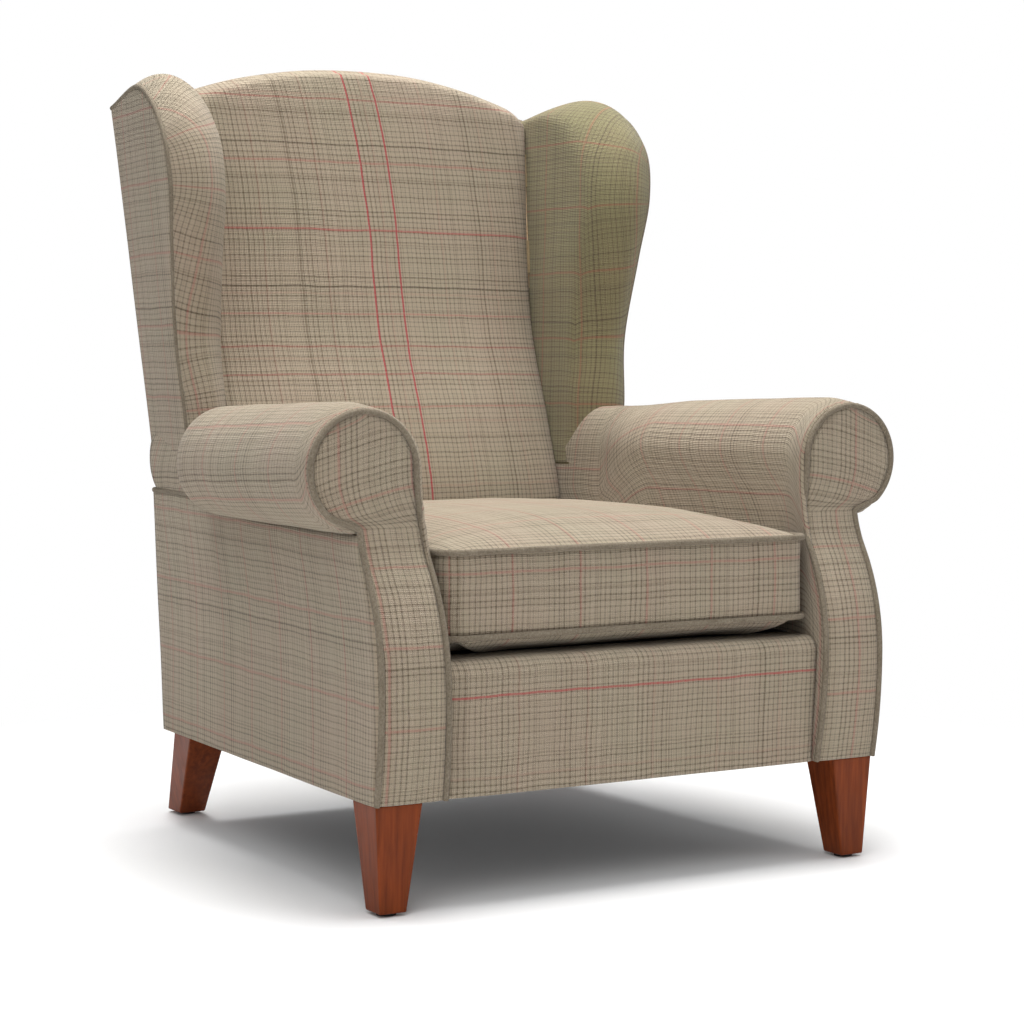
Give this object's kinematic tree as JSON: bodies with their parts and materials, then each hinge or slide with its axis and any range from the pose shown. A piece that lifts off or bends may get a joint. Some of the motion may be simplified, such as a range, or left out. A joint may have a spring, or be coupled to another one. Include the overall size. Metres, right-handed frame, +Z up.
{
  "type": "wing armchair",
  "caption": "Fireside wing chair: padded arched back, wings, scroll arms, loose boxed seat cushion that lifts out, and tapered wooden legs; rear legs raked.",
  "frame": {"origin": "on the floor, midway between the sides and midway between front and rear", "axes": "+Z up, -Y the way the chair faces, +X to the right as seen from the front"},
  "size_m": [0.875, 0.8162, 1.0861],
  "materials": {
    "tweed": "checked wool tweed, matt",
    "piping": "piping cord covered in the same tweed",
    "padding": "foam and polyester wadding",
    "lining": "black non-woven lining",
    "hessian": "plain jute",
    "frame_wood": "sawn beech",
    "leg_wood": "stained and lacquered, satin",
    "spring_steel": "bright drawn wire",
    "fixings": "zinc plated",
    "glide_plastic": "moulded, matt",
    "zip_tape": "woven tape with a coil chain",
    "zip_metal": "antique finish"
  },
  "bodies": {
    "chair": {"front_border_cover": "tweed", "inside_back_cover": "tweed", "outside_back_cover": "tweed", "arm_facing_cover_left": "tweed", "arm_facing_cover_right": "tweed", "inside_arm_cover_left": "tweed", "inside_arm_cover_right": "tweed", "outside_arm_cover_left": "tweed", "outside_arm_cover_right": "tweed", "inside_wing_cover_left": "tweed", "inside_wing_cover_right": "tweed", "outside_wing_cover_left": "tweed", "outside_wing_cover_right": "tweed", "arm_facing_piping": "piping", "wing_piping": "piping", "front_border_pad": "padding", "deck_pad": "padding", "inside_back_pad": "padding", "arm_pad_left": "padding", "arm_pad_right": "padding", "wing_pad_left": "padding", "wing_pad_right": "padding", "deck_cloth": "lining", "dust_cover": "lining", "seat_hessian": "hessian", "back_webbing": "hessian", "front_rail": "frame_wood", "rear_rail": "frame_wood", "crest_rail": "frame_wood", "lumbar_rail": "frame_wood", "corner_blocks": "frame_wood", "scroll_boards": "frame_wood", "arm_tack_rails": "frame_wood", "side_rail_left": "frame_wood", "side_rail_right": "frame_wood", "arm_post_left": "frame_wood", "arm_post_right": "frame_wood", "back_post_left": "frame_wood", "back_post_right": "frame_wood", "arm_rail_left": "frame_wood", "arm_rail_right": "frame_wood", "wing_frame_left": "frame_wood", "wing_frame_right": "frame_wood", "leg_front_left": "leg_wood", "leg_front_right": "leg_wood", "leg_rear_left": "leg_wood", "leg_rear_right": "leg_wood", "seat_springs": "spring_steel", "spring_tie_wires": "spring_steel", "corner_block_screws": "fixings", "leg_bolts": "fixings", "spring_clips": "fixings", "foot_glides": "glide_plastic"},
    "seat_cushion": {"cushion_core": "padding", "cushion_top_panel": "tweed", "cushion_bottom_panel": "tweed", "cushion_boxing": "tweed", "cushion_piping": "piping", "cushion_zip": "zip_tape"},
    "zip_slider": {"zip_slider": "zip_metal"}
  },
  "joints": [
    {"name": "seat_cushion_lift", "type": "slide", "parent": "chair", "child": "seat_cushion", "axis": [0, 0, 1], "range_m": [0, 0.25]},
    {"name": "zip_slide", "type": "slide", "parent": "seat_cushion", "child": "zip_slider", "axis": [1, 0, 0], "range_m": [0, 0.4]}
  ]
}
